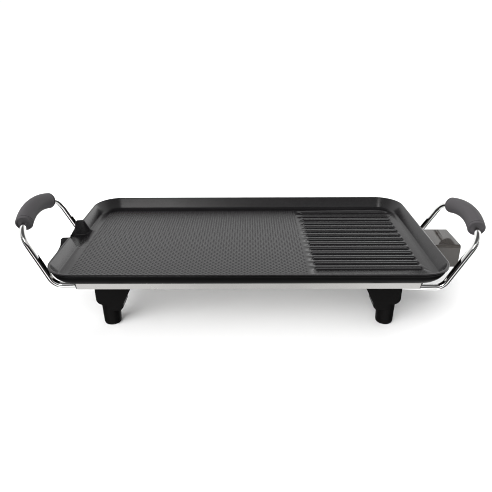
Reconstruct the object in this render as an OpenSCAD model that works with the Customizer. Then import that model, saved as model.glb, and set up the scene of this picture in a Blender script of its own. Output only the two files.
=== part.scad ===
// Electric table griddle: a cast tray with a grease chute at its left end, a sheathed heating
// element clamped under it, a shallow steel pan on four moulded legs, two bent-rod handles with
// soft grips, and a socket for a plug-in thermostat at its right end.
//
// Frame: +Z up, +X towards the socket, -Y towards the cook. The origin is on the table, under
// the middle of the tray. Millimetres and degrees.

/* [Cooking plate] */
// Length of the plate over its rim
plate_length = 480; // [470:1:500]
// Width of the plate over its rim
plate_width = 270; // [262:1:290]
// Height of the rim above the table
rim_height = 100; // [96:1:120]
// Plan radius of the plate's corners
plate_corner_r = 38; // [32:1:50]
// Depth of the cooking floor below the rim
tray_depth = 16; // [14:1:18]
// Thickness of the cooking floor
floor_t = 3.5; // [3:0.5:4]
// Thickness of the rim's lip
lip_t = 3.2; // [2.6:0.2:4]
// Horizontal run of the sloping inner wall
wall_run = 8; // [6:0.5:10]
// Radius between the inner wall and the cooking floor
inner_fillet_r = 5; // [3:0.5:6]
// Radius of the outer wall, from under the lip to the underside
outer_bend_r = 20; // [16.5:0.5:20.5]

/* [Grill ribs] */
// Number of ribs in the grill zone
rib_count = 14; // [8:1:15]
// Spacing of the ribs
rib_pitch = 14.67; // [12:0.01:15]
// Middle of the rib zone, towards the back of the plate
rib_middle_y = 7.3; // [0:0.1:8]
// Width of a rib at the cooking floor
rib_width = 5.6; // [5:0.2:10]
// Height of a rib above the cooking floor
rib_height = 1; // [1:0.1:3]
// Where the ribs start, measured from the plate's middle
rib_start_x = 82.5; // [70:0.5:100]
// Where the ribs end, measured from the plate's middle
rib_end_x = 214.5; // [205:0.5:218]

/* [Grease chute] */
// Width of the chute's channel
chute_width = 60; // [50:1:70]
// Middle of the chute, towards the back of the plate
chute_y = 5; // [0:1:10]
// How far the chute reaches past the rim
chute_reach = 20; // [15:1:24]
// Thickness of the chute's walls
chute_wall = 2.6; // [2:0.2:3.4]

/* [Base pan] */
// Length of the pan at its upper edge
pan_length = 415.2; // [412:0.2:416]
// Width of the pan at its upper edge
pan_width = 238; // [230:1:240]
// Height of the pan's wall
pan_height = 8.5; // [8.3:0.1:9.2]
// Thickness of the pan's sheet
pan_t = 0.8; // [0.6:0.1:0.9]
// Plan radius of the pan's corners, at its upper edge
pan_corner_r = 4; // [3.2:0.2:8]

/* [Heating element] */
// Diameter of the element's sheath
element_d = 6.5; // [6:0.1:6.5]
// Radius of the element's bends at its centre line
element_bend_r = 15; // [12:1:18]

/* [Legs] */
// Distance of a leg's column from the plate's middle, along the plate
leg_x = 179; // [175:0.5:179]
// Distance of a leg's column from the plate's middle, across the plate
leg_y = 73.5; // [73:0.5:74.5]
// Diameter of the column under the bracket
column_top_d = 24; // [20:0.5:25]
// Diameter of the column at its foot
column_foot_d = 22.2; // [18:0.2:23]
// Depth of the leg's bracket, front to back
bracket_depth = 26; // [24:0.5:28]

/* [Handles] */
// Diameter of a handle rod
rod_d = 8; // [7:0.5:8]
// Diameter of the bore that takes a rod in a leg
rod_bore_d = 10; // [10:0.1:10.6]
// Diameter of a grip
grip_d = 22; // [18:0.5:26]
// Tilt of the left handle in its loose bores, upwards
left_handle_tilt = 2.3; // [0:0.1:2.6]
// Tilt of the right handle in its loose bores, upwards
right_handle_tilt = -2.3; // [-2.6:0.1:0]

/* [Thermostat socket] */
// Diameter of a terminal pin
pin_d = 6.35; // [6:0.05:6.4]
// Distance between the two terminal pins
pin_spacing = 26; // [25:0.5:27]
// Diameter of the bore that takes the thermostat's probe
probe_bore_d = 6.8; // [6:0.1:7]
// Width of the socket's shroud
shroud_width = 59; // [58:0.5:62]
// Thickness of the shroud's walls
shroud_wall = 3; // [2.4:0.2:3]

/* [Hidden] */
$fn = 96;
eps = 0.01;
bend_lap = 0.3;
bend_step = 0.02;

// cooking plate
floor_top = rim_height - tray_depth;
floor_bottom = floor_top - floor_t;
wall_step = 1.5;
profile_depth = 30;
wall_angle = atan2(wall_run, tray_depth);
lip_round_r = lip_t / 2;
half_length = plate_length / 2;
half_width = plate_width / 2;

// ribs: a circular segment of the stated width and height
rib_r = (rib_width * rib_width / 4 + rib_height * rib_height) / (2 * rib_height);

// chute
chute_y0 = chute_y - chute_width / 2;
chute_y1 = chute_y + chute_width / 2;
chute_tip_z = rim_height - 24.5;
chute_sill_z = rim_height - 22.5;
chute_edge = 14.5;

// pan
pan_top = floor_bottom;
pan_bottom = pan_top - pan_height;
pan_floor = pan_bottom + pan_t;
pan_draft = 2.2;
pan_seam = pan_draft + pan_t / 2;
notch_x = 186;
notch_half = 17.5;

// element: its lanes run along the plate, and its two cold ends leave beside the probe bore
element_r = element_d / 2;
element_z = floor_bottom - element_r - 0.1;
outer_lane_y = 88;
inner_lane_y = 30;
turn_x = 190;
inner_turn_x = 150;
terminal_y = pin_spacing / 2;
terminal_z = rim_height - 30;

// clamps over the lanes: [along the plate, across the plate]
CLAMPS = [[-110, -88], [110, -88], [-110, 88], [110, 88], [0, -30], [0, 30]];
clamp_width = 12;
clamp_t = 0.8;
clamp_ear = 9.5;
clamp_seat = 2;
clamp_seat_r = 3.6;
clamp_ear_end = 3.5;

// fasteners: thread_gap stands for the cut thread
thread_gap = 0.05;
m4_r = 1.9;
m3_r = 1.45;
screw_head_r = 3.5;
screw_head_h = 2.2;
small_head_r = 2.6;
small_head_h = 1.8;
post_r = 4.5;

// pan posts and screws
PAN_POST_X = [-125, 0, 125];
pan_post_y = 59;

// legs
pad_t = 2.5;
bracket_top = pan_bottom;
bracket_outer_x = 194;
bracket_bottom = rim_height - 68.4;
bracket_round_r = 8.4;
bracket_mid_y = leg_y - 0.5;
LEG_SCREW_X = [153, 181];
column_top = bracket_bottom + 4;
plug_r = 6;
plug_h = 7;

// handles: one route for both, with the bend radius at each corner
rod_r = rod_d / 2;
rod_z = rim_height - 49.5;
rod_y = 71;
rod_end_x = 168;
rod_seat_x = 181;
lower_bend_r = 17.5;
upper_bend_r = 22;
grip_bend_r = 130;
HANDLE = [
    [rod_end_x, -rod_y, rod_z],
    [249.5, -rod_y, rod_z],
    [284.6, -67, rim_height + 16.1],
    [298.7, 0, rim_height + 35.8],
    [284.6, 67, rim_height + 16.1],
    [249.5, rod_y, rod_z],
    [rod_end_x, rod_y, rod_z]
];
HANDLE_R = [0, lower_bend_r, upper_bend_r, grip_bend_r, upper_bend_r, lower_bend_r, 0];

// socket
lug_x0 = 210;
lug_x1 = 222;
lug_y0 = 18.5;
lug_y1 = 26.2;
lug_mid_y = (lug_y0 + lug_y1) / 2;
lug_bottom = 58.2;
boss_x0 = 188;
boss_half = 7.5;
boss_bottom = 64;
probe_depth = 30;
lug_screw_x = lug_x0 + 5;
lug_screw_z = boss_bottom + 8;
earth_rivet_z = lug_bottom + 2.4;
earth_half = 4;
insulator_r = 4.7;
insulator_back = lug_x1 - 1.4;
insulator_flange_r = 6.2;
insulator_flange_t = 2.2;
pin_neck_r = 2.9;
terminal_plate_t = 1.5;
terminal_face = lug_x1 + terminal_plate_t;
pin_shoulder_x = terminal_face + insulator_flange_t + 0.05;
pin_back_x = lug_x1 - 1.3;
shroud_x0 = 183;
shroud_x1 = 283.4;
shroud_top = rim_height - 12;
shroud_bottom = 55;
shroud_round_r = 3.5;
shroud_shoulder_x = half_length - 0.8;
tail_half = 24;
tail_end_x = 208;
pin_tip_x = 256;

coating = [0.17, 0.17, 0.18];
steel = [0.76, 0.75, 0.74];
black_moulding = [0.08, 0.08, 0.08];
grip_grey = [0.3, 0.29, 0.3];
brass = [0.8, 0.66, 0.34];

// ---- shared shapes ----

// A rounded rectangle, with its middle at the origin
module rounded_rect(l, w, r) {
    square([l - 2 * r, w], center = true);
    square([l, w - 2 * r], center = true);
    for (sx = [-1, 1], sy = [-1, 1])
        translate([sx * (l / 2 - r), sy * (w / 2 - r)]) circle(r = r);
}

// Sweeps a wall's section round a rounded rectangle. In the section, x = 0 is the outline,
// inwards is negative, and y is the height.
module sweep_round(l, w, r) {
    for (q = [0:3])
        rotate([0, 0, 90 * q])
            translate([(q % 2 == 0 ? l : w) / 2 - r, (q % 2 == 0 ? w : l) / 2 - r, 0])
                rotate_extrude(angle = 90) translate([r, 0]) children();
    for (q = [0:3])
        rotate([0, 0, 90 * q])
            translate([(q % 2 == 0 ? l : w) / 2, (q % 2 == 0 ? w : l) / 2 - r, 0])
                rotate([90, 0, 0]) linear_extrude((q % 2 == 0 ? w : l) - 2 * r) children();
}

function unit(v) = v / norm(v);

// Lays the +Z axis along a direction
module along(direction) {
    d = unit(direction);
    rotate([0, acos(d[2]), atan2(d[1], d[0])]) children();
}

module straight_rod(from, to, r) {
    translate(from) along(to - from) cylinder(h = norm(to - from), r = r);
}

// How far a bend of radius bend_r reaches along each of its two straights
function bend_reach(p, q, s, bend_r) =
    bend_r * tan(acos(max(-1, min(1, unit(q - p) * unit(s - q)))) / 2);

// Sweeps a section round the bend at corner q, between p and s
module elbow(p, q, s, bend_r) {
    into = unit(q - p);
    out = unit(s - q);
    turn = acos(into * out);
    axis = unit(cross(into, out));
    side = cross(axis, into);
    start = q - into * bend_reach(p, q, s, bend_r);
    centre = start + side * bend_r;
    // columns: from the centre to the start, the way in, and the turning axis
    multmatrix([
        [-side[0], into[0], axis[0], centre[0]],
        [-side[1], into[1], axis[1], centre[1]],
        [-side[2], into[2], axis[2], centre[2]],
        [0, 0, 0, 1]
    ]) rotate_extrude(angle = turn) translate([bend_r, 0]) children();
}

// A round rod through the corners, with a bend of the stated radius at each inner corner. Each
// straight runs a little way over the ends of its bends, which are a hair thinner.
module bent_rod(corners, radii, r) {
    last = len(corners) - 1;
    reach = [for (i = [0:last]) (i == 0 || i == last) ? 0
        : bend_reach(corners[i - 1], corners[i], corners[i + 1], radii[i]) - bend_lap];
    for (i = [0:last - 1]) {
        way = unit(corners[i + 1] - corners[i]);
        straight_rod(corners[i] + way * reach[i], corners[i + 1] - way * reach[i + 1], r);
    }
    for (i = [1:last - 1])
        elbow(corners[i - 1], corners[i], corners[i + 1], radii[i]) circle(r = r - bend_step);
}

// A pan-head screw. It points up, with the underside of its head at the origin.
module screw(shank_r, length, head_r, head_h) {
    difference() {
        union() {
            cylinder(h = length, r = shank_r);
            translate([0, 0, -head_h]) cylinder(h = head_h, r1 = head_r * 0.8, r2 = head_r);
        }
        for (a = [0, 90])
            rotate([0, 0, a]) translate([0, 0, -head_h])
                cube([head_r * 1.1, head_r * 0.25, head_h], center = true);
    }
}

// Repeats its children at the four corners of a rectangle
module at_corners(x, y) {
    for (sx = [-1, 1], sy = [-1, 1]) translate([sx * x, sy * y, 0]) children();
}

// ---- cooking plate ----

module cavity_section() {
    centre_z = floor_top + inner_fillet_r;
    centre_x = -lip_t - (rim_height - centre_z) * tan(wall_angle)
        - inner_fillet_r / cos(wall_angle);
    tangent = [centre_x + inner_fillet_r * cos(wall_angle),
        centre_z - inner_fillet_r * sin(wall_angle)];
    polygon([
        [-lip_t + tan(wall_angle), rim_height + 1], tangent, [centre_x, floor_top],
        [-profile_depth - 1, floor_top], [-profile_depth - 1, rim_height + 1]
    ]);
    translate([centre_x, centre_z]) circle(r = inner_fillet_r);
}

module plate_section() {
    bend_x = -wall_step - outer_bend_r;
    bend_z = floor_bottom + outer_bend_r;
    wall_h = rim_height - lip_t + eps - floor_bottom;
    difference() {
        union() {
            intersection() {
                translate([bend_x, bend_z]) circle(r = outer_bend_r);
                translate([bend_x, floor_bottom]) square([outer_bend_r, wall_h]);
            }
            translate([-profile_depth, floor_bottom])
                square([profile_depth + bend_x + eps, wall_h]);
            translate([-lip_round_r, rim_height - lip_round_r]) circle(r = lip_round_r);
            translate([-profile_depth, rim_height - lip_t])
                square([profile_depth - lip_round_r, lip_t]);
        }
        cavity_section();
    }
}

module ribs() {
    intersection() {
        for (i = [0:rib_count - 1])
            translate([0, rib_middle_y + (i - (rib_count - 1) / 2) * rib_pitch,
                floor_top + rib_height - rib_r]) {
                translate([rib_start_x + rib_width / 2, 0, 0]) rotate([0, 90, 0])
                    cylinder(h = rib_end_x - rib_start_x - rib_width, r = rib_r);
                for (x = [rib_start_x + rib_width / 2, rib_end_x - rib_width / 2])
                    translate([x, 0, 0]) sphere(r = rib_r);
            }
        translate([0, -half_width, floor_top - 1])
            cube([half_length, plate_width, rib_height + 2]);
    }
}

// The chute's underside, from its tip to the plate's underside
CHUTE_UNDER = [
    [-half_length - chute_reach, chute_tip_z - 1.2],
    [-half_length - chute_reach + 4, chute_tip_z - 3], [-half_length + 6, chute_sill_z - 3.4],
    [-half_length + 20, floor_bottom]
];

// Section of the chute's side walls, along the plate
module chute_side() {
    polygon(concat([
        [-half_length + 6, rim_height - 10], [-half_length + lip_t, rim_height - 0.6],
        [-half_length - 8, rim_height - 0.6], [-half_length - 9.8, rim_height - 1.8],
        [-half_length - 12, rim_height - 12], [-half_length - chute_reach, chute_tip_z]
    ], CHUTE_UNDER, [[-half_length + 20, floor_top]]));
}

// The channel drops past the cooking floor's edge, then runs almost level to its tip
module chute_floor() {
    polygon(concat([
        [-half_length + chute_edge, floor_top], [-half_length + 4, chute_sill_z],
        [-half_length - chute_reach, chute_tip_z]
    ], CHUTE_UNDER, [[-half_length + 20, floor_top]]));
}

// What the channel takes out of the plate's wall
module chute_cut() {
    polygon([
        [-half_length + chute_edge, floor_top], [-half_length + 4, chute_sill_z],
        [-half_length - 2, chute_sill_z - 0.5], [-half_length - 2, rim_height + 1],
        [-half_length + chute_edge, rim_height + 1]
    ]);
}

module chute() {
    for (y = [chute_y0, chute_y1 + chute_wall])
        translate([0, y, 0]) rotate([90, 0, 0]) linear_extrude(chute_wall) chute_side();
    translate([0, chute_y1 + eps, 0]) rotate([90, 0, 0])
        linear_extrude(chute_width + 2 * eps) chute_floor();
}

// Cast posts and lugs on the underside
module plate_posts() {
    post_h = floor_bottom - pan_floor;
    difference() {
        for (x = PAN_POST_X, s = [-1, 1])
            translate([x, s * pan_post_y, pan_floor]) cylinder(h = post_h + eps, r = post_r);
        for (x = PAN_POST_X, s = [-1, 1])
            translate([x, s * pan_post_y, pan_floor - 1])
                cylinder(h = post_h, r = m4_r + thread_gap);
    }
    difference() {
        for (c = CLAMPS, s = [-1, 1])
            translate([c[0], c[1] + s * clamp_ear, floor_bottom - clamp_seat])
                cylinder(h = clamp_seat + eps, r = clamp_seat_r);
        for (c = CLAMPS, s = [-1, 1])
            translate([c[0], c[1] + s * clamp_ear, floor_bottom - clamp_seat - 1])
                cylinder(h = clamp_seat + 0.5, r = m3_r + thread_gap);
    }
    difference() {
        translate([boss_x0, -boss_half, boss_bottom])
            cube([lug_x1 - boss_x0, 2 * boss_half, floor_bottom - boss_bottom + eps]);
        translate([lug_x1 - probe_depth, 0, terminal_z]) rotate([0, 90, 0])
            cylinder(h = probe_depth + 1, r = probe_bore_d / 2);
    }
    for (s = [-1, 1]) difference() {
        translate([lug_x0, s * lug_mid_y - (lug_y1 - lug_y0) / 2, lug_bottom])
            cube([lug_x1 - lug_x0, lug_y1 - lug_y0, floor_bottom - lug_bottom + eps]);
        translate([lug_x1 - 5, s * lug_mid_y, lug_screw_z]) rotate([0, 90, 0])
            cylinder(h = 6, r = m3_r + thread_gap);
        translate([lug_screw_x, s * lug_mid_y, lug_bottom - 1])
            cylinder(h = 9, r = m3_r + thread_gap);
    }
}

module griddle_plate() {
    color(coating) {
        difference() {
            union() {
                sweep_round(plate_length, plate_width, plate_corner_r) plate_section();
                translate([0, 0, floor_bottom]) linear_extrude(floor_t)
                    rounded_rect(plate_length - 40, plate_width - 40, plate_corner_r - 20);
            }
            translate([0, chute_y1, 0]) rotate([90, 0, 0])
                linear_extrude(chute_width) chute_cut();
        }
        ribs();
        chute();
        plate_posts();
    }
}

// ---- base pan ----

module pan_wall_section() {
    polygon([
        [0, pan_top], [-pan_draft, pan_bottom], [-pan_draft - pan_t, pan_bottom],
        [-pan_t, pan_top]
    ]);
}

module pan_screw_hole() {
    translate([0, 0, pan_bottom - 1]) cylinder(h = pan_t + 2, r = m4_r + 0.3);
}

module base_pan() {
    color(steel) difference() {
        union() {
            sweep_round(pan_length, pan_width, pan_corner_r) pan_wall_section();
            translate([0, 0, pan_bottom]) linear_extrude(pan_t)
                rounded_rect(pan_length - 2 * pan_seam, pan_width - 2 * pan_seam,
                    pan_corner_r - pan_seam);
        }
        for (x = PAN_POST_X, s = [-1, 1])
            translate([x, s * pan_post_y, 0]) pan_screw_hole();
        for (x = LEG_SCREW_X)
            at_corners(x, bracket_mid_y) pan_screw_hole();
        // notch for the probe boss and the element's cold ends
        translate([notch_x, -notch_half, pan_bottom - 1])
            cube([pan_length / 2 - notch_x + 1, 2 * notch_half, pan_height + 2]);
    }
}

module pan_screws() {
    color(steel)
        for (x = PAN_POST_X, s = [-1, 1])
            translate([x, s * pan_post_y, pan_bottom])
                screw(m4_r, pan_height - 2, screw_head_r, screw_head_h);
}

// ---- heating element ----

// Half of the element, from its cold end to the middle of the left turn is one side of the
// plate; the two sides are joined by the short turn near the socket
module heating_element() {
    half = [
        [lug_x1 - 1.5, terminal_y, terminal_z], [214, terminal_y, terminal_z],
        [207, terminal_y, element_z], [turn_x, terminal_y, element_z],
        [turn_x, outer_lane_y, element_z], [-turn_x, outer_lane_y, element_z],
        [-turn_x, inner_lane_y, element_z], [inner_turn_x, inner_lane_y, element_z]
    ];
    other_half = [for (i = [len(half) - 1:-1:0]) [half[i][0], -half[i][1], half[i][2]]];
    radii = [0, 8, 8, 11, element_bend_r, element_bend_r, element_bend_r, element_bend_r];
    other_radii = [for (i = [len(radii) - 1:-1:0]) radii[i]];
    color([0.33, 0.33, 0.32])
        bent_rod(concat(half, other_half), concat(radii, other_radii), element_r);
}

// A saddle strap: two flat ears and a half-round under the element's sheath
module clamp_section() {
    saddle_r = element_r + 0.05;
    ear_top = floor_bottom - clamp_seat;
    difference() {
        union() {
            translate([0, element_z]) circle(r = saddle_r + clamp_t);
            translate([-clamp_ear - clamp_ear_end, ear_top - clamp_t])
                square([2 * (clamp_ear + clamp_ear_end), clamp_t]);
        }
        translate([0, element_z]) circle(r = saddle_r);
        translate([-saddle_r, element_z]) square([2 * saddle_r, 10]);
        translate([-clamp_ear, ear_top]) square([2 * clamp_ear, 10]);
    }
}

module element_clamps() {
    color(steel) for (c = CLAMPS) difference() {
        translate([c[0] - clamp_width / 2, c[1], 0]) rotate([90, 0, 90])
            linear_extrude(clamp_width) clamp_section();
        for (s = [-1, 1])
            translate([c[0], c[1] + s * clamp_ear, floor_bottom - 10])
                cylinder(h = 10, r = m3_r + 0.2);
    }
}

module clamp_screws() {
    color(steel) for (c = CLAMPS, s = [-1, 1])
        translate([c[0], c[1] + s * clamp_ear, floor_bottom - clamp_seat - clamp_t])
            screw(m3_r, clamp_seat + clamp_t - 0.6, small_head_r, small_head_h);
}

// ---- thermostat socket ----

module terminal_plate() {
    color(steel) difference() {
        translate([lug_x1, -lug_y1, lug_bottom])
            cube([terminal_plate_t, 2 * lug_y1, floor_bottom - 1 - lug_bottom]);
        for (s = [-1, 1]) {
            translate([lug_x1 - 1, s * terminal_y, terminal_z]) rotate([0, 90, 0])
                cylinder(h = 5, r = insulator_r + 0.2);
            translate([lug_x1 - 1, s * lug_mid_y, lug_screw_z]) rotate([0, 90, 0])
                cylinder(h = 5, r = m3_r + 0.2);
        }
        translate([lug_x1 - 1, 0, terminal_z]) rotate([0, 90, 0]) cylinder(h = 5, r = 4.5);
        translate([lug_x1 - 1, 0, earth_rivet_z]) rotate([0, 90, 0]) cylinder(h = 5, r = 1.3);
    }
}

module terminal_plate_screws() {
    color(steel) for (s = [-1, 1])
        translate([terminal_face, s * lug_mid_y, lug_screw_z])
            rotate([0, -90, 0]) screw(m3_r, 6, small_head_r, small_head_h);
}

module pin_insulators() {
    color([0.93, 0.92, 0.88]) for (s = [-1, 1])
        translate([0, s * terminal_y, terminal_z]) difference() {
            union() {
                translate([insulator_back, 0, 0]) rotate([0, 90, 0])
                    cylinder(h = pin_shoulder_x - insulator_back, r = insulator_r);
                translate([terminal_face, 0, 0]) rotate([0, 90, 0])
                    cylinder(h = insulator_flange_t, r = insulator_flange_r);
            }
            translate([insulator_back - 1, 0, 0]) rotate([0, 90, 0])
                cylinder(h = 14, r = pin_neck_r + 0.05);
        }
}

// A pin has a neck in its insulator and a shoulder against the insulator's face
module terminal_pins() {
    tip = 2;
    neck = pin_shoulder_x - pin_back_x;
    reach = pin_tip_x - tip - pin_shoulder_x;
    color([0.82, 0.81, 0.78]) for (s = [-1, 1])
        translate([pin_back_x, s * terminal_y, terminal_z]) rotate([0, 90, 0]) {
            cylinder(h = neck + eps, r = pin_neck_r);
            translate([0, 0, neck]) cylinder(h = reach, r = pin_d / 2);
            translate([0, 0, neck + reach])
                cylinder(h = tip, r1 = pin_d / 2, r2 = pin_d / 2 - 1.4);
        }
}

module probe_guide() {
    color(brass) translate([0, 0, terminal_z]) difference() {
        union() {
            translate([lug_x1 + 0.1, 0, 0]) rotate([0, 90, 0]) cylinder(h = 9, r = 4.4);
            translate([terminal_face, 0, 0]) rotate([0, 90, 0]) cylinder(h = 1.2, r = 6);
        }
        translate([lug_x1 - 1, 0, 0]) rotate([0, 90, 0])
            cylinder(h = 14, r = probe_bore_d / 2 + 0.2);
    }
}

// A sprung strip that lies along the socket's floor and humps up under the plug
module earth_contact() {
    z = lug_bottom;
    color(brass) difference() {
        translate([0, earth_half, 0]) rotate([90, 0, 0]) linear_extrude(2 * earth_half) polygon([
            [terminal_face, z + 5], [terminal_face, z + 0.4], [228, z + 0.4], [238, z + 3.4],
            [243, z + 3.4], [251, z + 0.6], [251, z + 1.4], [243.2, z + 4.2], [237.8, z + 4.2],
            [228, z + 1.2], [terminal_face + 0.8, z + 1.2], [terminal_face + 0.8, z + 5]
        ]);
        translate([lug_x1, 0, earth_rivet_z]) rotate([0, 90, 0]) cylinder(h = 4, r = 1.3);
    }
}

module earth_rivet() {
    color(brass) translate([lug_x1 + 0.1, 0, earth_rivet_z]) rotate([0, 90, 0]) {
        cylinder(h = 2.4, r = 1.25);
        translate([0, 0, 2.3]) cylinder(h = 0.9, r1 = 1.9, r2 = 1.2);
    }
}

// A box with rounded long edges, drawn along the plate from x0 to x1
module shroud_block(x0, x1, half, z0, z1, r) {
    translate([x0, 0, (z0 + z1) / 2]) rotate([90, 0, 90])
        linear_extrude(x1 - x0) rounded_rect(2 * half, z1 - z0, r);
}

module socket_shroud() {
    half = shroud_width / 2;
    t = shroud_wall;
    tub_top = floor_bottom - 0.2;
    color([0.16, 0.15, 0.15]) difference() {
        union() {
            shroud_block(shroud_shoulder_x, shroud_x1, half, shroud_bottom, shroud_top,
                shroud_round_r);
            intersection() {
                shroud_block(tail_end_x, shroud_x1 - 1, half, shroud_bottom, shroud_top,
                    shroud_round_r);
                translate([tail_end_x, -half, shroud_bottom])
                    cube([shroud_x1 - tail_end_x - 1, shroud_width, tub_top - shroud_bottom]);
            }
            intersection() {
                shroud_block(shroud_x0, tail_end_x + t, tail_half, shroud_bottom + 2.5,
                    shroud_top, shroud_round_r);
                translate([shroud_x0, -half, shroud_bottom])
                    cube([tail_end_x + t - shroud_x0, shroud_width,
                        pan_bottom - 0.1 - shroud_bottom]);
            }
        }
        // the socket's cavity, open at its mouth
        shroud_block(terminal_face, shroud_x1 + 1, half - t, shroud_bottom + t,
            shroud_top - t, shroud_round_r - 1.5);
        // room behind the terminal plate, open to the plate's underside
        translate([tail_end_x + t, -half + t, shroud_bottom + t])
            cube([shroud_shoulder_x - tail_end_x - t, shroud_width - 2 * t, 40]);
        translate([shroud_x0 + t, -tail_half + t, shroud_bottom + t])
            cube([tail_end_x - shroud_x0 + 1, 2 * (tail_half - t), 40]);
        for (s = [-1, 1]) translate([lug_screw_x, s * lug_mid_y, shroud_bottom - 1]) {
            cylinder(h = 6, r = m3_r + 0.2);
            cylinder(h = 1 + small_head_h + 0.2, r = small_head_r + 0.3);
        }
    }
}

module shroud_screws() {
    color(steel) for (s = [-1, 1])
        translate([lug_screw_x, s * lug_mid_y, shroud_bottom + small_head_h + 0.2])
            screw(m3_r, 7.5, small_head_r, small_head_h);
}

// ---- legs ----

// Outline of the leg's bracket, along the plate
module bracket_outline() {
    r = bracket_round_r;
    translate([bracket_outer_x - r, bracket_bottom + r]) circle(r = r);
    polygon([
        [140, bracket_top], [bracket_outer_x, bracket_top],
        [bracket_outer_x, bracket_bottom + r], [bracket_outer_x - r, bracket_bottom + r],
        [bracket_outer_x - r, bracket_bottom], [leg_x, bracket_bottom],
        [leg_x, rim_height - 77], [164, rim_height - 77], [160.3, rim_height - 72.2],
        [159.4, rim_height - 66.2]
    ]);
}

// The leg at the rear right; the others are its mirror images
module leg_shape() {
    difference() {
        union() {
            translate([0, bracket_mid_y + bracket_depth / 2, 0]) rotate([90, 0, 0])
                linear_extrude(bracket_depth) bracket_outline();
            translate([leg_x, leg_y, pad_t])
                cylinder(h = column_top - pad_t, d1 = column_foot_d, d2 = column_top_d);
        }
        // bore for the handle rod
        translate([rod_end_x - 2, rod_y, rod_z]) rotate([0, 90, 0])
            cylinder(h = 60, d = rod_bore_d);
        // pilot hole for the rod's lock screw, from the inner side
        translate([rod_seat_x, bracket_mid_y - bracket_depth / 2 - 1, rod_z])
            rotate([-90, 0, 0]) cylinder(h = 10, r = m4_r + thread_gap);
        for (x = LEG_SCREW_X)
            translate([x, bracket_mid_y, bracket_top - 13])
                cylinder(h = 14, r = m4_r + thread_gap);
        translate([leg_x, leg_y, 0]) cylinder(h = pad_t + plug_h + 0.5, r = plug_r + 0.1);
    }
}

module leg(sx, sy) {
    color(black_moulding) mirror([sx < 0 ? 1 : 0, 0, 0]) mirror([0, sy < 0 ? 1 : 0, 0])
        leg_shape();
}

module front_left_leg() { leg(-1, -1); }
module front_right_leg() { leg(1, -1); }
module rear_left_leg() { leg(-1, 1); }
module rear_right_leg() { leg(1, 1); }

module leg_screws() {
    color(steel) for (x = LEG_SCREW_X)
        at_corners(x, bracket_mid_y) translate([0, 0, pan_floor])
            rotate([180, 0, 0]) screw(m4_r, 12, screw_head_r, screw_head_h);
}

// A soft pad that plugs into the column's end
module foot(sx, sy) {
    color([0.06, 0.06, 0.06]) translate([sx * leg_x, sy * leg_y, 0]) {
        cylinder(h = 0.8, d1 = column_foot_d - 2.6, d2 = column_foot_d - 1);
        translate([0, 0, 0.8]) cylinder(h = pad_t - 0.8, d = column_foot_d - 1);
        cylinder(h = pad_t + plug_h, r = plug_r);
    }
}

module front_left_foot() { foot(-1, -1); }
module front_right_foot() { foot(1, -1); }
module rear_left_foot() { foot(-1, 1); }
module rear_right_foot() { foot(1, 1); }

// ---- handles ----

// Tilts a handle in its bores
module handle_seat(tilt) {
    translate([rod_seat_x, 0, rod_z]) rotate([0, -tilt, 0])
        translate([-rod_seat_x, 0, -rod_z]) children();
}

module handle_rod(tilt) {
    color([0.85, 0.85, 0.84]) handle_seat(tilt) bent_rod(HANDLE, HANDLE_R, rod_r);
}

// The grip follows the rod's wide top bend
module grip(tilt) {
    color(grip_grey) handle_seat(tilt)
        elbow(HANDLE[2], HANDLE[3], HANDLE[4], grip_bend_r) difference() {
            circle(d = grip_d);
            circle(r = rod_r + 0.05);
        }
}

module left_handle_rod() { mirror([1, 0, 0]) handle_rod(left_handle_tilt); }
module right_handle_rod() { handle_rod(right_handle_tilt); }
module left_grip() { mirror([1, 0, 0]) grip(left_handle_tilt); }
module right_grip() { grip(right_handle_tilt); }

module rod_lock_screws() {
    face_y = bracket_mid_y - bracket_depth / 2;
    color(steel) for (sx = [-1, 1], sy = [-1, 1])
        translate([sx * rod_seat_x, sy * face_y, rod_z]) rotate([-90 * sy, 0, 0])
            screw(m4_r, rod_y - rod_r - face_y - 0.1, screw_head_r, screw_head_h);
}

griddle_plate();
base_pan();
heating_element();
element_clamps();
clamp_screws();
terminal_plate();
terminal_plate_screws();
pin_insulators();
terminal_pins();
probe_guide();
earth_contact();
earth_rivet();
socket_shroud();
shroud_screws();
pan_screws();
front_left_leg();
front_right_leg();
rear_left_leg();
rear_right_leg();
leg_screws();
front_left_foot();
front_right_foot();
rear_left_foot();
rear_right_foot();
left_handle_rod();
right_handle_rod();
left_grip();
right_grip();
rod_lock_screws();
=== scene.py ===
"""Electric table griddle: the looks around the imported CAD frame.

Lengths are millimetres in the builders below and become metres when a mesh is made.
+X points to the thermostat socket, -Y to the cook and +Z up; the table is z = 0.
"""
import math

import bmesh
import bpy
import numpy as np
from mathutils import Matrix, Vector
from mathutils.geometry import delaunay_2d_cdt


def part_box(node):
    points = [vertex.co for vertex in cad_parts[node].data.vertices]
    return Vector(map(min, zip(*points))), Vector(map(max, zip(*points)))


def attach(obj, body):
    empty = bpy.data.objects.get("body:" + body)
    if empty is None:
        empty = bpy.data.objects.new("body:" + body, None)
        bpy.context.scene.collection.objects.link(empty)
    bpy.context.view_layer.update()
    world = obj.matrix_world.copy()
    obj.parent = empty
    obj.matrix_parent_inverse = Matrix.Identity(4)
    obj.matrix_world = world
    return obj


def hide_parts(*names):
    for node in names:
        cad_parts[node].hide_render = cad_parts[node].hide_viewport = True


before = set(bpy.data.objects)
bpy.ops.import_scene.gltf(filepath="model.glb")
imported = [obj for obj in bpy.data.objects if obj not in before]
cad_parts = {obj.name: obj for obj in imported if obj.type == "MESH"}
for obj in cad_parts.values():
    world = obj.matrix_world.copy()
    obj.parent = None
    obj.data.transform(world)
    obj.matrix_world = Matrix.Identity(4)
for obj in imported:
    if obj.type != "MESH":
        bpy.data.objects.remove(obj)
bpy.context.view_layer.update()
MM = 0.001


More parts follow.
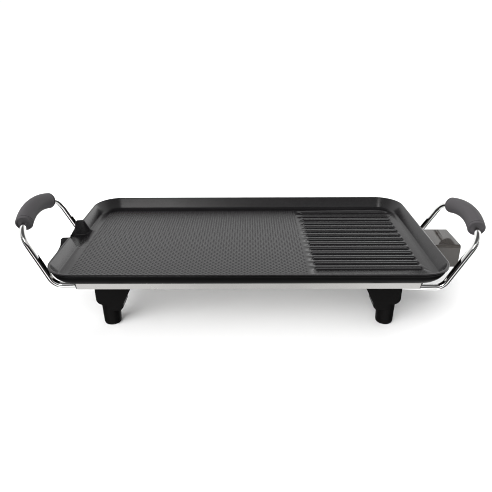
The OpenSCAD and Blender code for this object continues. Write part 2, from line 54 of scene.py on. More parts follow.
def box_mm(node):
    """The lowest and highest corner of a CAD node, in millimetres."""
    low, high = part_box(node)
    return low / MM, high / MM


# ---- sizes, from the frame where it has them ----

PLATE_LOW, PLATE_HIGH = box_mm("griddle_plate")
HALF_LENGTH = PLATE_HIGH.x
HALF_WIDTH = PLATE_HIGH.y
RIM = PLATE_HIGH.z
CORNER_R = 38.0
FLOOR = RIM - 16.0
UNDER = FLOOR - 3.5
LIP = 3.2
WALL_SLOPE = math.atan2(8.0, 16.0)
FILLET_R = 5.0
BEND_R = 20.0
WALL_STEP = 1.5
INNER_U = -LIP - (RIM - FLOOR - FILLET_R) * math.tan(WALL_SLOPE) - FILLET_R / math.cos(WALL_SLOPE)
UNDER_U = -WALL_STEP - BEND_R

CHUTE_FRONT = -25.0
CHUTE_REAR = 35.0
CHEEK = 2.6
CHUTE_REACH = -PLATE_LOW.x - HALF_LENGTH
CHUTE_SILL = RIM - 22.5
CHUTE_TIP = RIM - 24.5

RIB_COUNT = 14
RIB_MIDDLE = 7.3
RIB_PITCH = 14.67
RIB_HALF = 4.5
RIB_START = 80.9
RIB_END = 216.1
# half of a rib's section: distance from its middle and height over the cooking floor;
# a shallow groove runs round the rib
RIB_SECTION = (
    (0.0, 0.8), (0.6, 0.79), (1.0, 0.73), (1.4, 0.55), (1.8, 0.2), (2.2, -0.25), (2.6, -0.7),
    (3.0, -0.95), (3.4, -1.02), (3.8, -0.92), (4.15, -0.5), (4.35, -0.15), (4.5, 0.0),
)

DIMPLE_COLUMN = 3.61
DIMPLE_ROW = DIMPLE_COLUMN * 2 / math.sqrt(3)
DIMPLE_R = 1.5
DIMPLE_DEPTH = 0.4
DIMPLE_END = RIB_START - 9.5

ROD_R = 4.0
GRIP_R = 11.0


# ---- shared mesh code ----

def arc(centre_u, centre_z, r, start, end, count):
    """Points on an arc, with angles in degrees from +u towards +z."""
    angles = np.radians(np.linspace(start, end, count))
    return [(centre_u + r * math.cos(a), centre_z + r * math.sin(a)) for a in angles]


def make_piece(name, bm, material, smooth=True, sharp_angle=35.0):
    """Turns a bmesh in millimetres into an object in metres that rides on the one body."""
    bmesh.ops.remove_doubles(bm, verts=bm.verts, dist=1e-4)
    bmesh.ops.dissolve_degenerate(bm, edges=bm.edges, dist=1e-5)
    bmesh.ops.recalc_face_normals(bm, faces=bm.faces)
    bmesh.ops.scale(bm, vec=(MM, MM, MM), verts=bm.verts)
    limit = math.radians(sharp_angle)
    for f in bm.faces:
        f.smooth = smooth
    for e in bm.edges:
        e.smooth = not (len(e.link_faces) == 2 and e.calc_face_angle(0.0) > limit)
    mesh = bpy.data.meshes.new(name)
    bm.to_mesh(mesh)
    bm.free()
    piece = bpy.data.objects.new(name, mesh)
    bpy.context.scene.collection.objects.link(piece)
    for m in material if isinstance(material, list) else [material]:
        mesh.materials.append(m)
    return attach(piece, "root")


def skin(bm, loops, closed=True, closed_sections=False):
    """Joins a list of sections, each a list of points, with quads. Returns the vertex rows."""
    rows = [[bm.verts.new(p) for p in loop] for loop in loops]
    count = len(rows[0])
    for i in range(len(rows) if closed else len(rows) - 1):
        a, b = rows[i], rows[(i + 1) % len(rows)]
        for j in range(count if closed_sections else count - 1):
            k = (j + 1) % count
            bm.faces.new((a[j], a[k], b[k], b[j]))
    return rows


# ---- cooking plate ----

def wall_profile():
    """The wall's section from the cooking floor over the lip to the underside, in three runs."""
    slope = math.degrees(WALL_SLOPE)
    inner_round = 1.0
    top_u = -LIP + inner_round * math.tan((math.pi / 2 + WALL_SLOPE) / 4) + 0.4
    rise = arc(INNER_U, FLOOR + FILLET_R, FILLET_R, -90, -slope, 7)
    lip = arc(top_u, RIM - inner_round, inner_round, 180 - slope, 90, 4)
    lip += arc(-LIP / 2, RIM - LIP / 2, LIP / 2, 90, 0, 10)
    outside = arc(-LIP / 2, RIM - LIP / 2, LIP / 2, -18, -72, 4)
    outside += arc(UNDER_U, UNDER + BEND_R, BEND_R, -12, -90, 12)
    return rise, lip, outside


def chute_floor_z(u):
    """The chute's floor drops past the cooking floor's edge, then runs on to its tip."""
    run = (INNER_U, INNER_U + 1.4, -5.4, -3.2, CHUTE_REACH)
    drop = (FLOOR, FLOOR - 0.45, CHUTE_SILL + 0.9, CHUTE_SILL - 0.1, CHUTE_TIP)
    return float(np.interp(u, run, drop))


def resample(points, count):
    """Spreads count points evenly along a line of points."""
    p = np.array(points, float)
    along = np.concatenate([[0], np.cumsum(np.linalg.norm(np.diff(p, axis=0), axis=1))])
    t = np.linspace(0, along[-1], count)
    return list(zip(np.interp(t, along, p[:, 0]), np.interp(t, along, p[:, 1])))


def chute_outside(count):
    """The tip's nose and the chute's underside, back to the plate's underside."""
    nose = arc(CHUTE_REACH - 1.0, CHUTE_TIP - 1.3, 1.0, 0, -60, 4)
    under = [(CHUTE_REACH - 4, CHUTE_TIP - 3), (-6, CHUTE_SILL - 3.4), (UNDER_U, UNDER)]
    return nose + resample(under, count - 4)


def cheek_profile():
    """A side wall of the chute: the tray's wall inside, then the lip falling to the tip."""
    rise, lip, outside = wall_profile()
    crest = [(-1.0, RIM), (7.4, RIM - 0.3), (9.0, RIM - 0.9), (9.9, RIM - 2.2), (12, RIM - 12)]
    crest += [(CHUTE_REACH - 0.2, CHUTE_TIP + 0.6)]
    return rise + lip[:4] + resample(crest, len(lip) - 4) + chute_outside(len(outside))


def inset(profile, amount, first, last):
    """Moves points first to last of a profile into the metal, easing in over the first three."""
    p = np.array(profile, float)
    t = np.gradient(p, axis=0)
    t /= np.linalg.norm(t, axis=1)[:, None]
    moved = p.copy()
    for i in range(first, last):
        ease = min(1.0, (i - first + 1) / 3)
        moved[i] += amount * ease * np.array([t[i][1], -t[i][0]])
    return [tuple(q) for q in moved]


def chute_stations():
    """(y, section) for the left end wall between the two cheeks, rear to front."""
    rise, lip, outside = wall_profile()
    wall = rise + lip + outside
    cheek = cheek_profile()
    top = len(rise) + len(lip)
    base = [(u, chute_floor_z(u)) for u, _ in cheek[:top]] + cheek[top:]

    def floor_at(lift):
        return [(u, z + lift * min(1.0, i / 4) * (i < top)) for i, (u, z) in enumerate(base)]

    outer = [(0.0, 0.8), (0.35, 0.25), (0.9, 0.0)]
    half = [(CHEEK - d, inset(cheek, s, len(rise) + 4, top)) for d, s in outer]
    half += [(d, inset(cheek, s, 1, top)) for d, s in reversed(outer)]
    half += [(0.0, floor_at(1.6)), (-0.45, floor_at(0.55)), (-1.6, floor_at(0.0))]
    stations = [(CHUTE_REAR + CHEEK, wall)]
    stations += [(CHUTE_REAR + d, s) for d, s in half]
    stations += [(CHUTE_FRONT - d, s) for d, s in reversed(half)]
    return stations + [(CHUTE_FRONT - CHEEK, wall)]


def plate_sections():
    """Every section of the wall as a ring of 3-D points, going round the plate."""
    rise, lip, outside = wall_profile()
    wall = rise + lip + outside
    centre_x, centre_y = HALF_LENGTH - CORNER_R, HALF_WIDTH - CORNER_R
    sections = []
    for quarter, (sx, sy) in enumerate([(1, 1), (-1, 1), (-1, -1), (1, -1)]):
        for step in range(19):
            a = math.radians(90 * quarter + 90 * step / 18)
            ca, sa = math.cos(a), math.sin(a)
            sections.append([
                (sx * centre_x + (CORNER_R + u) * ca, sy * centre_y + (CORNER_R + u) * sa, z)
                for u, z in wall
            ])
        if quarter == 1:
            for y, profile in chute_stations():
                sections.append([(-HALF_LENGTH - u, y, z) for u, z in profile])
    return sections


def dimple_cells():
    """Centres of the dimples: columns along the plate's width, every other one half a row on."""
    centre_x, centre_y = HALF_LENGTH - CORNER_R, HALF_WIDTH - CORNER_R
    reach_x, reach_y, reach_r = -INNER_U, -INNER_U, CORNER_R + INNER_U
    clear = 6.2
    cells = []
    first = -HALF_LENGTH + reach_x + clear
    columns = int((DIMPLE_END - first) / DIMPLE_COLUMN) + 1
    half_rows = int((HALF_WIDTH - reach_y - clear) / DIMPLE_ROW)
    for i in range(columns):
        x = DIMPLE_END - i * DIMPLE_COLUMN
        for j in range(-half_rows, half_rows + 1):
            y = (j + 0.5 * (i % 2)) * DIMPLE_ROW
            dx, dy = max(0.0, abs(x) - centre_x), max(0.0, abs(y) - centre_y)
            if abs(y) < HALF_WIDTH - reach_y - clear and math.hypot(dx, dy) < reach_r - clear:
                cells.append((x, y))
    return np.array(cells)


def dimple_mesh(cells):
    """Vertices and triangles of the dimpled field. Its hexagons share their corners."""
    corner_r = DIMPLE_ROW / math.sqrt(3)
    six = np.radians(np.arange(6) * 60)
    twelve = np.radians(np.arange(12) * 30)

    def ring(angles, r, z):
        return np.stack([r * np.cos(angles), r * np.sin(angles), np.full(len(angles), z)], 1)

    cell = np.concatenate([
        [[0, 0, -DIMPLE_DEPTH]], ring(six, DIMPLE_R * 0.58, -DIMPLE_DEPTH * 0.72),
        ring(twelve, DIMPLE_R, 0), ring(six, corner_r, 0),
    ])
    triangles = [(0, 1 + k, 1 + (k + 1) % 6) for k in range(6)]
    for k in range(6):
        a, b = 1 + k, 1 + (k + 1) % 6
        p, q, r = 7 + 2 * k, 7 + 2 * k + 1, 7 + (2 * k + 2) % 12
        before = 7 + (2 * k - 1) % 12
        corner, following = 19 + k, 19 + (k + 1) % 6
        triangles += [(a, p, q), (a, q, b), (b, q, r)]
        triangles += [(corner, p, before), (corner, q, p), (corner, following, q)]
    places = np.array([(x, y, FLOOR) for x, y in cells])
    vertices = (places[:, None, :] + cell[None]).reshape(-1, 3)
    faces = (np.arange(len(cells)) * len(cell))[:, None, None] + np.array(triangles)[None]
    keys = np.round(vertices * 200).astype(np.int64)
    _, first, inverse = np.unique(keys, axis=0, return_index=True, return_inverse=True)
    return vertices[first], inverse.reshape(-1)[faces.reshape(-1, 3)]


def edge_loops(faces):
    """The outline edges of a set of triangles."""
    edges = np.concatenate([faces[:, [0, 1]], faces[:, [1, 2]], faces[:, [2, 0]]])
    ordered = np.sort(edges, axis=1)
    _, index, count = np.unique(ordered, axis=0, return_index=True, return_counts=True)
    return edges[index[count == 1]]


def rib_rings(y):
    """One rib as nested outlines with round ends, from the cooking floor to its crest."""
    outlines = []
    for r, height in reversed(RIB_SECTION):
        z = FLOOR + height
        ring = []
        for centre, start in ((RIB_END - RIB_HALF, -90), (RIB_START + RIB_HALF, 90)):
            for k in range(11):
                a = math.radians(start + 18 * k)
                ring.append((centre + r * math.cos(a), y + r * math.sin(a), z))
        outlines.append(ring)
    return outlines


def fill_between(outer, edges_inside, points_inside, keep):
    """Triangulates the flat band between an outline and the shapes inside it."""
    points = [Vector(p[:2]) for p in outer] + [Vector(p[:2]) for p in points_inside]
    count = len(outer)
    edges = [(i, (i + 1) % count) for i in range(count)]
    edges += [(int(a) + count, int(b) + count) for a, b in edges_inside]
    flat, _, faces, origins, _, _ = delaunay_2d_cdt(points, edges, [], 0, 1e-5)
    source = [o[0] if o else None for o in origins]
    kept = []
    for f in faces:
        x = sum(flat[v].x for v in f) / len(f)
        y = sum(flat[v].y for v in f) / len(f)
        if keep(x, y):
            kept.append([source[v] for v in f])
    return kept


def inside_loop(x, y, u):
    """True within the plate's outline moved by u."""
    centre_x, centre_y = HALF_LENGTH - CORNER_R, HALF_WIDTH - CORNER_R
    dx, dy = max(0.0, abs(x) - centre_x), max(0.0, abs(y) - centre_y)
    return math.hypot(dx, dy) < CORNER_R + u


def distinct(points):
    """The points without the ones that repeat the one before."""
    kept = [p for i, p in enumerate(points) if math.dist(p, points[i - 1]) > 1e-3]
    return kept


def cast_bosses(bm):
    """The cast posts, lugs and probe boss under the floor, as the frame has them."""
    source = bmesh.new()
    source.from_mesh(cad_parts["griddle_plate"].data)
    bmesh.ops.scale(source, vec=(1 / MM,) * 3, verts=source.verts)
    bmesh.ops.remove_doubles(source, verts=source.verts, dist=1e-3)
    cut = UNDER - 0.05
    whole = source.verts[:] + source.edges[:] + source.faces[:]
    bmesh.ops.bisect_plane(
        source, geom=whole, plane_co=(0, 0, cut), plane_no=(0, 0, 1), clear_outer=True
    )
    stray = [v for v in source.verts if v.co.x < -HALF_LENGTH + 22]
    bmesh.ops.delete(source, geom=stray, context="VERTS")
    bmesh.ops.holes_fill(source, edges=[e for e in source.edges if e.is_boundary], sides=0)
    for v in source.verts:
        if abs(v.co.z - cut) < 1e-3:
            v.co.z = UNDER + 0.4
    part = bpy.data.meshes.new("bosses")
    source.to_mesh(part)
    source.free()
    bm.from_mesh(part)
    bpy.data.meshes.remove(part)


def griddle_plate(coating, paint):
    bm = bmesh.new()
    sections = plate_sections()
    rows = skin(bm, sections)
    rise, lip, _ = wall_profile()
    inner_count = len(rise) + len(lip) - 3
    for row in rows:
        for j in range(inner_count, len(row) - 1):
            for f in row[j].link_faces:
                if row[j + 1] in f.verts:
                    f.material_index = 1
    floor_loop = distinct([s[0] for s in sections])
    cells = dimple_cells()
    hex_points, hex_faces = dimple_mesh(cells)
    hex_edges = edge_loops(hex_faces)
    half_count = (RIB_COUNT - 1) / 2
    ribs = [rib_rings(RIB_MIDDLE + (i - half_count) * RIB_PITCH) for i in range(RIB_COUNT)]
    used = np.unique(hex_edges)
    renumber = {int(v): i for i, v in enumerate(used)}
    inner_points = [tuple(hex_points[v]) for v in used]
    inner_edges = [(renumber[int(a)], renumber[int(b)]) for a, b in hex_edges]
    for rib in ribs:
        start, outline = len(inner_points), distinct(rib[0])
        inner_points += outline
        inner_edges += [
            (start + i, start + (i + 1) % len(outline)) for i in range(len(outline))
        ]
    lattice = np.array(cells)

    def plain(x, y):
        if not inside_loop(x, y, INNER_U):
            return False
        if RIB_START < x < RIB_END:
            row = round((y - RIB_MIDDLE) / RIB_PITCH + half_count)
            if 0 <= row < RIB_COUNT:
                off = abs(y - RIB_MIDDLE - (row - half_count) * RIB_PITCH)
                ends = max(0.0, RIB_START + RIB_HALF - x, x - RIB_END + RIB_HALF)
                if math.hypot(off, ends) < RIB_HALF * 0.985:
                    return False
        if x < DIMPLE_END + DIMPLE_COLUMN:
            near = lattice - (x, y)
            near = np.abs(near[np.argmin((near**2).sum(1))])
            if near[1] <= DIMPLE_ROW / 2 and near[0] * math.sqrt(3) + near[1] <= DIMPLE_ROW:
                return False
        return True

    faces = fill_between(floor_loop, inner_edges, inner_points, plain)
    verts = [bm.verts.new(p) for p in floor_loop + inner_points]
    for f in faces:
        bm.faces.new([verts[v] for v in f])
    hex_verts = [bm.verts.new(p) for p in hex_points]
    for f in hex_faces:
        bm.faces.new([hex_verts[v] for v in f])
    for rib in ribs:
        skin(bm, rib, closed=False, closed_sections=True)
    under_loop = distinct([s[-1] for s in sections])
    bottom = bm.faces.new([bm.verts.new(p) for p in under_loop])
    bottom.material_index = 1
    before = len(bm.faces)
    cast_bosses(bm)
    bm.faces.ensure_lookup_table()
    for f in bm.faces[before:]:
        f.material_index = 1
    piece = make_piece("griddle_plate_finish", bm, [coating, paint], sharp_angle=50)
    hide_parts("griddle_plate")
    return piece


# ---- bent rods and grips ----

HANDLE = [
    (168, -71, 50.5), (249.5, -71, 50.5), (284.6, -67, 116.1), (298.7, 0, 135.8),
    (284.6, 67, 116.1), (249.5, 71, 50.5), (168, 71, 50.5),
]
HANDLE_BENDS = (17.5, 22.0, 130.0, 22.0, 17.5)
ROD_SEAT = Vector((181, 0, 50.5))


def bend_points(p, q, s, r, count):
    """Points on the round bend of radius r at corner q between p and s."""
    a, b = (p - q).normalized(), (s - q).normalized()
    half = a.angle(b) / 2
    centre = q + (a + b).normalized() * r / math.sin(half)
    start = q + a * r / math.tan(half) - centre
    end = q + b * r / math.tan(half) - centre
    turn = start.angle(end)
    points = []
    for i in range(count):
        t = i / (count - 1)
        mixed = start * math.sin((1 - t) * turn) + end * math.sin(t * turn)
        points.append(centre + mixed / math.sin(turn))
    return points


def handle_path(side, tilt):
    """The rod's centre line and the part of it under the grip, for the +X or -X end."""
    turn = Matrix.Rotation(math.radians(-tilt), 3, "Y")
    corners = [turn @ (Vector(c) - ROD_SEAT) + ROD_SEAT for c in HANDLE]
    corners = [Vector((side * c.x, c.y, c.z)) for c in corners]
    path, top = [corners[0]], []
    for i, r in enumerate(HANDLE_BENDS):
        count = 41 if r > 100 else 15
        bend = bend_points(corners[i], corners[i + 1], corners[i + 2], r, count)
        path += bend
        if r > 100:
            top = bend
    return path + [corners[-1]], top


def frames_along(path):
    """A centre and two cross directions for each point, without twist."""
    result, side = [], Vector((0, 0, 1))
    for i, p in enumerate(path):
        ahead = path[min(i + 1, len(path) - 1)] - path[max(i - 1, 0)]
        ahead.normalize()
        side = side - ahead * side.dot(ahead)
        if side.length < 1e-3:
            side = ahead.orthogonal()
        side.normalize()
        result.append((p, side, ahead.cross(side), ahead))
    return result


def tube(name, stations, material, count=32):
    """A round body from (frame, offset along it, radius) stations, closed at both ends."""
    bm = bmesh.new()
    loops = []
    for (p, a, b, ahead), offset, r in stations:
        centre = p + ahead * offset
        angles = [math.tau * k / count for k in range(count)]
        loops.append([centre + (a * math.cos(t) + b * math.sin(t)) * r for t in angles])
    rows = skin(bm, loops, closed=False, closed_sections=True)
    bm.faces.new(rows[0])
    bm.faces.new(rows[-1])
    return make_piece(name, bm, material, sharp_angle=40)


def handle(word, side, tilt, chrome, rubber):
    path, top = handle_path(side, tilt)
    stations = [(f, 0.0, ROD_R) for f in frames_along(path)]
    chamfered = [(stations[0][0], -0.0, ROD_R - 0.6), (stations[0][0], 0.6, ROD_R)]
    chamfered += stations[1:-1]
    chamfered += [(stations[-1][0], -0.6, ROD_R), (stations[-1][0], 0.0, ROD_R - 0.6)]
    rod = tube(f"{word}_handle_rod_finish", chamfered, chrome)
    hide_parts(f"{word}_handle_rod")
    along = frames_along(top)
    # from the rod outwards: a hollow face, a raised rim, a rounded edge and a groove
    end = [(2.2, ROD_R + 0.05), (2.0, 6.6), (1.8, 8.6), (0.3, 9.0), (0.0, 9.3)]
    end += [(1.2 * (1 - math.sin(t)), 9.8 + 1.2 * math.cos(t)) for t in
            [math.radians(a) for a in (90, 60, 30, 0)]]
    end += [(2.6, GRIP_R), (2.9, GRIP_R - 0.9), (3.5, GRIP_R - 0.9), (3.9, GRIP_R - 0.1)]
    grip = [(along[0], o, r) for o, r in end]
    grip += [(f, 0.0, GRIP_R) for f in along[3:-3]]
    grip += [(along[-1], -o, r) for o, r in reversed(end)]
    sleeve = tube(f"{word}_grip_finish", grip, rubber, 48)
    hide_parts(f"{word}_grip")


# ---- materials ----

COAT_ROUGHNESS = 0.05


def link(tree, source, target):
    tree.links.new(source, target)


def node(tree, kind, **values):
    """A shader node. Names that are sockets get a default value, the others are settings."""
    n = tree.nodes.new(kind)
    for key, value in values.items():
        label = key.replace("_", " ").title()
        if label in n.inputs:
            n.inputs[label].default_value = value
        else:
            setattr(n, key, value)
    return n


def span(tree, source, low, high, start=0.25, end=0.75):
    """Maps a value from start to end, a noise's usual range, onto low to high."""
    n = tree.nodes.new("ShaderNodeMapRange")
    n.inputs["From Min"].default_value = start
    n.inputs["From Max"].default_value = end
    n.inputs["To Min"].default_value = low
    n.inputs["To Max"].default_value = high
    link(tree, source, n.inputs["Value"])
    return n.outputs["Result"]


def surface(name, colour, rough, metallic=0.0, tone=0.12, tone_scale=60.0, spread=0.05,
            grain=0.1, grain_scale=1800.0, grain_depth=0.00005, stretch=(1, 1, 1), ior=1.5,
            coat=0.0, speck=0.0):
    """A procedural material: tone and roughness drift over the piece, and a fine grain."""
    material = bpy.data.materials.new(name)
    material.use_nodes = True
    tree = material.node_tree
    shader = tree.nodes["Principled BSDF"]
    place = tree.nodes.new("ShaderNodeTexCoord")
    scaled = tree.nodes.new("ShaderNodeMapping")
    scaled.inputs["Scale"].default_value = stretch
    link(tree, place.outputs["Object"], scaled.inputs["Vector"])
    drift = node(tree, "ShaderNodeTexNoise", scale=tone_scale, detail=5.0, roughness=0.6)
    fine = node(tree, "ShaderNodeTexNoise", scale=grain_scale, detail=3.0, roughness=0.55)
    link(tree, place.outputs["Object"], drift.inputs["Vector"])
    link(tree, scaled.outputs["Vector"], fine.inputs["Vector"])
    mix = tree.nodes.new("ShaderNodeMix")
    mix.data_type = "RGBA"
    mix.inputs[6].default_value = [c * (1 - tone) for c in colour] + [1]
    mix.inputs[7].default_value = [min(1.0, c * (1 + tone)) for c in colour] + [1]
    total = tree.nodes.new("ShaderNodeMath")
    total.operation = "MULTIPLY_ADD"
    total.inputs[1].default_value = speck
    link(tree, span(tree, fine.outputs["Fac"], -0.5, 0.5), total.inputs[0])
    link(tree, span(tree, drift.outputs["Fac"], 0.0, 1.0), total.inputs[2])
    link(tree, total.outputs["Value"], mix.inputs[0])
    link(tree, mix.outputs[2], shader.inputs["Base Color"])
    link(tree, span(tree, drift.outputs["Fac"], rough - spread, rough + spread),
         shader.inputs["Roughness"])
    bump = tree.nodes.new("ShaderNodeBump")
    bump.inputs["Strength"].default_value = grain
    bump.inputs["Distance"].default_value = grain_depth
    link(tree, fine.outputs["Fac"], bump.inputs["Height"])
    link(tree, bump.outputs["Normal"], shader.inputs["Normal"])
    shader.inputs["Metallic"].default_value = metallic
    shader.inputs["IOR"].default_value = ior
    shader.inputs["Coat Weight"].default_value = coat
    shader.inputs["Coat Roughness"].default_value = COAT_ROUGHNESS
    return material


def refine(name, material, bevel=0.25):
    """Gives a CAD node its finish and small rounded edges."""
    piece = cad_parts[name]
    piece.data.materials.clear()
    piece.data.materials.append(material)
    weld = piece.modifiers.new("weld", "WELD")
    weld.merge_threshold = 2e-6
    if bevel:
        edge = piece.modifiers.new("edge", "BEVEL")
        edge.width = bevel * MM
        edge.segments = 2
        edge.limit_method = "ANGLE"
        edge.angle_limit = math.radians(40)
        edge.harden_normals = False
    piece.data.polygons.foreach_set("use_smooth", [True] * len(piece.data.polygons))
    keep = piece.modifiers.new("normals", "WEIGHTED_NORMAL")
    keep.keep_sharp = True


coating = surface(
    "coating", (0.0055, 0.0052, 0.0056), 0.24, tone=0.18, tone_scale=45, spread=0.03,
    grain=0.35, grain_scale=900, grain_depth=0.00006, speck=0.6,
)
paint = surface(
    "coating_outside", (0.0025, 0.0025, 0.0025), 0.36, tone=0.15, tone_scale=50, spread=0.04,
    grain=0.3, grain_scale=1200, grain_depth=0.00005, speck=0.5, ior=1.08,
)
pan_steel = surface(
    "pan_steel", (0.72, 0.71, 0.69), 0.24, metallic=1.0, tone=0.05, tone_scale=18,
    spread=0.05, grain=0.12, grain_scale=900, grain_depth=0.00003, stretch=(0.05, 0.05, 3),
)
screw_steel = surface(
    "screw_steel", (0.62, 0.62, 0.61), 0.3, metallic=1.0, tone=0.12, tone_scale=300,
    grain=0.15, grain_scale=2500,
)
sheath = surface(
    "sheath", (0.11, 0.105, 0.1), 0.5, metallic=0.5, tone=0.25, tone_scale=90,
    grain=0.3, grain_scale=1500,
)
ceramic = surface(
    "ceramic", (0.86, 0.84, 0.78), 0.55, tone=0.05, tone_scale=200, grain=0.2,
    grain_scale=2500,
)
brass = surface(
    "brass", (0.78, 0.62, 0.3), 0.28, metallic=1.0, tone=0.12, tone_scale=150, grain=0.12,
    grain_scale=2000,
)
nickel = surface(
    "nickel", (0.72, 0.7, 0.66), 0.16, metallic=1.0, tone=0.06, tone_scale=120, grain=0.06,
    grain_scale=2000,
)
chrome = surface(
    "chrome", (0.9, 0.9, 0.89), 0.035, metallic=1.0, tone=0.03, tone_scale=40,
    spread=0.02, grain=0.04, grain_scale=500, grain_depth=0.00002,
)
shroud_plastic = surface(
    "shroud_plastic", (0.042, 0.038, 0.035), 0.08, tone=0.1, tone_scale=40, spread=0.02,
    grain=0.05, grain_scale=700, coat=0.15,
)
leg_plastic = surface(
    "leg_plastic", (0.0035, 0.0033, 0.0033), 0.45, ior=1.14, tone=0.14, tone_scale=70, spread=0.05,
    grain=0.3, grain_scale=1700, speck=0.4,
)
foot_rubber = surface(
    "foot_rubber", (0.0035, 0.0034, 0.0034), 0.6, ior=1.2, tone=0.15, tone_scale=120, grain=0.3,
    grain_scale=1600,
)
grip_rubber = surface(
    "grip_rubber", (0.051, 0.048, 0.051), 0.7, tone=0.08, tone_scale=60, spread=0.05,
    grain=0.5, grain_scale=1500, grain_depth=0.00012, speck=0.8, ior=1.4,
)

griddle_plate(coating, paint)
handle("left", -1, 2.3, chrome, grip_rubber)
handle("right", 1, -2.3, chrome, grip_rubber)
refine("base_pan", pan_steel, 0.2)
refine("socket_shroud", shroud_plastic, 1.0)
refine("heating_element", sheath, 0)
for name in ("front_left", "front_right", "rear_left", "rear_right"):
    refine(f"{name}_leg", leg_plastic, 0.7)
    refine(f"{name}_foot", foot_rubber, 0.3)
for name in ("element_clamps", "clamp_screws", "terminal_plate", "terminal_plate_screws",
             "shroud_screws", "pan_screws", "leg_screws", "rod_lock_screws"):
    refine(name, screw_steel, 0.15)
refine("pin_insulators", ceramic, 0.2)
refine("terminal_pins", nickel, 0.2)
for name in ("probe_guide", "earth_contact", "earth_rivet"):
    refine(name, brass, 0.15)


# ---- the room: a pale floor, a gradient of soft light and two broad suns ----

def room_floor():
    material = surface(
        "floor", (0.9, 0.9, 0.9), 0.85, tone=0.004, tone_scale=3, grain=0.02, grain_scale=60
    )
    bm = bmesh.new()
    bmesh.ops.create_grid(bm, x_segments=2, y_segments=2, size=9.0)
    mesh = bpy.data.meshes.new("floor")
    bm.to_mesh(mesh)
    bm.free()
    mesh.materials.append(material)
    floor = bpy.data.objects.new("floor", mesh)
    bpy.context.scene.collection.objects.link(floor)
    floor.visible_glossy = False


def ramp(tree, source, stops):
    """Radiance along a direction's height, from (height, value) stops."""
    n = tree.nodes.new("ShaderNodeValToRGB")
    shift = tree.nodes.new("ShaderNodeMapRange")
    shift.inputs["From Min"].default_value = -1
    link(tree, source, shift.inputs["Value"])
    link(tree, shift.outputs["Result"], n.inputs["Fac"])
    points = n.color_ramp.elements
    while len(points) < len(stops):
        points.new(0.5)
    for point, (height, value) in zip(points, stops):
        point.position = (height + 1) / 2
        point.color = (value, value, value, 1)
    return n.outputs["Color"]


def tinted(tree, colour, tint, amount):
    """The colour times a tint, by an amount from 0 to 1."""
    n = tree.nodes.new("ShaderNodeMix")
    n.data_type = "RGBA"
    n.blend_type = "MULTIPLY"
    link(tree, amount, n.inputs[0])
    link(tree, colour, n.inputs[6])
    link(tree, tint, n.inputs[7])
    return n.outputs[2]


def softbox(tree, parts, colour):
    """Adds a narrow bright panel behind the cook's left shoulder."""
    across = tree.nodes.new("ShaderNodeMath")
    across.operation = "DIVIDE"
    link(tree, parts.outputs["X"], across.inputs[0])
    link(tree, parts.outputs["Y"], across.inputs[1])
    total = None
    for source, stops in (
        (across.outputs["Value"], ((0.12, 0.0), (0.19, 1.0))),
        (across.outputs["Value"], ((0.31, 1.0), (0.318, 0.0))),
        (parts.outputs["Z"], ((0.3, 0.0), (0.36, 1.0))),
        (parts.outputs["Z"], ((0.68, 1.0), (0.74, 0.0))),
        (parts.outputs["Y"], ((-0.1, 1.0), (-0.05, 0.0))),
    ):
        n = tree.nodes.new("ShaderNodeMapRange")
        (low, first), (high, last) = stops
        n.inputs["From Min"].default_value, n.inputs["From Max"].default_value = low, high
        n.inputs["To Min"].default_value, n.inputs["To Max"].default_value = first, last
        link(tree, source, n.inputs["Value"])
        if total is None:
            total = n.outputs["Result"]
            continue
        product = tree.nodes.new("ShaderNodeMath")
        product.operation = "MULTIPLY"
        link(tree, total, product.inputs[0])
        link(tree, n.outputs["Result"], product.inputs[1])
        total = product.outputs["Value"]
    mix = tree.nodes.new("ShaderNodeMix")
    mix.data_type = "RGBA"
    mix.inputs[7].default_value = (5.6, 5.6, 5.5, 1)
    link(tree, total, mix.inputs[0])
    link(tree, colour, mix.inputs[6])
    return mix.outputs[2]


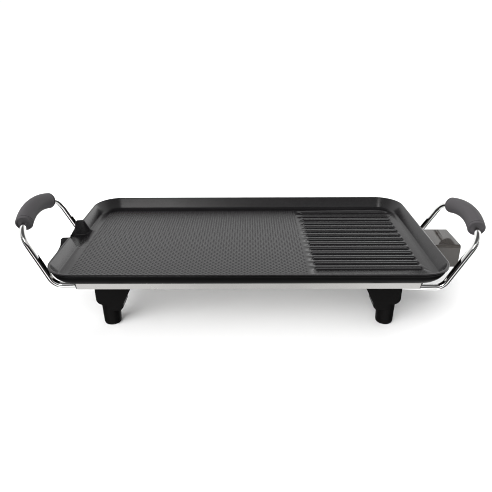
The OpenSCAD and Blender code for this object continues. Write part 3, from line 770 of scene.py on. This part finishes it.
def room_light():
    world = bpy.data.worlds.new("room")
    bpy.context.scene.world = world
    world.use_nodes = True
    tree = world.node_tree
    sky = tree.nodes["Background"]
    place = tree.nodes.new("ShaderNodeTexCoord")
    parts = tree.nodes.new("ShaderNodeSeparateXYZ")
    link(tree, place.outputs["Generated"], parts.inputs["Vector"])
    front = ramp(tree, parts.outputs["Z"], [
        (-0.9, 0.64), (-0.7, 0.68), (-0.55, 0.95), (-0.22, 0.95), (-0.12, 0.02), (0.22, 0.02),
        (0.34, 0.56), (0.62, 0.56), (0.78, 0.1), (1.0, 0.08),
    ])
    back = ramp(tree, parts.outputs["Z"], [
        (-0.9, 0.66), (-0.2, 1.05), (-0.12, 1.3), (0.1, 1.3), (0.25, 1.05), (0.7, 1.05),
        (0.86, 0.1), (1.0, 0.08),
    ])
    # below the horizon the room is brighter towards the sides and dark past them,
    # which draws the pan's rounded corners as dark lines
    reach = tree.nodes.new("ShaderNodeMath")
    reach.operation = "ABSOLUTE"
    link(tree, parts.outputs["X"], reach.inputs[0])
    ends = ramp(tree, reach.outputs["Value"], [
        (0.0, 0.94), (0.12, 0.96), (0.26, 1.32), (0.45, 1.32), (0.53, 0.03), (1.0, 0.03),
    ])
    # the horizon behind the griddle is brighter to the right
    right_side = ramp(tree, parts.outputs["X"], [(-1.0, 0.8), (-0.4, 0.8), (0.1, 1.0), (0.5, 1.9)])
    low = span(tree, parts.outputs["Z"], 1, 0, 0.2, 0.26)
    back = tinted(tree, back, right_side, low)
    side = tree.nodes.new("ShaderNodeMapRange")
    side.interpolation_type = "SMOOTHSTEP"
    side.inputs["From Min"].default_value = -0.3
    side.inputs["From Max"].default_value = 0.25
    link(tree, parts.outputs["Y"], side.inputs["Value"])
    mix = tree.nodes.new("ShaderNodeMix")
    mix.data_type = "RGBA"
    link(tree, side.outputs["Result"], mix.inputs[0])
    link(tree, front, mix.inputs[6])
    link(tree, back, mix.inputs[7])
    below = span(tree, parts.outputs["Z"], 1, 0, -0.28, -0.2)
    room = tinted(tree, mix.outputs[2], ends, below)
    link(tree, softbox(tree, parts, room), sky.inputs["Color"])
    for name, strength, spread, azimuth, height in (
        ("front_left_lamp", 4.95, 66, -130, 30), ("overhead_lamp", 1.3, 60, 60, 75),
    ):
        lamp = bpy.data.lights.new(name, "SUN")
        lamp.energy = strength
        lamp.angle = math.radians(spread)
        item = bpy.data.objects.new(name, lamp)
        item.rotation_euler = (0, math.radians(90 - height), math.radians(azimuth))
        item.visible_glossy = False
        bpy.context.scene.collection.objects.link(item)


def camera():
    """A view from the cook's side, a little left of the row frame's middle."""
    pitch, yaw, roll = (math.radians(a) for a in (24.64, -0.42, -0.32))
    ahead = Vector((math.sin(yaw) * math.cos(pitch), math.cos(yaw) * math.cos(pitch),
                    -math.sin(pitch)))
    right = Vector((math.cos(yaw), -math.sin(yaw), 0))
    up = right.cross(ahead)
    r = right * math.cos(roll) + up * math.sin(roll)
    u = up * math.cos(roll) - right * math.sin(roll)
    data = bpy.data.cameras.new("camera")
    data.lens = 37.2
    data.clip_start = 0.02
    item = bpy.data.objects.new("camera", data)
    turn = Matrix((r, u, -ahead)).transposed().to_4x4()
    item.matrix_world = Matrix.Translation(Vector((1.7, -645.7, 370.9)) * MM) @ turn
    bpy.context.scene.collection.objects.link(item)
    bpy.context.scene.camera = item


room_floor()
room_light()
camera()
bpy.context.scene.view_settings.view_transform = "Standard"
bpy.context.scene.cycles.filter_width = 1.0
bpy.context.scene.cycles.use_denoising = True
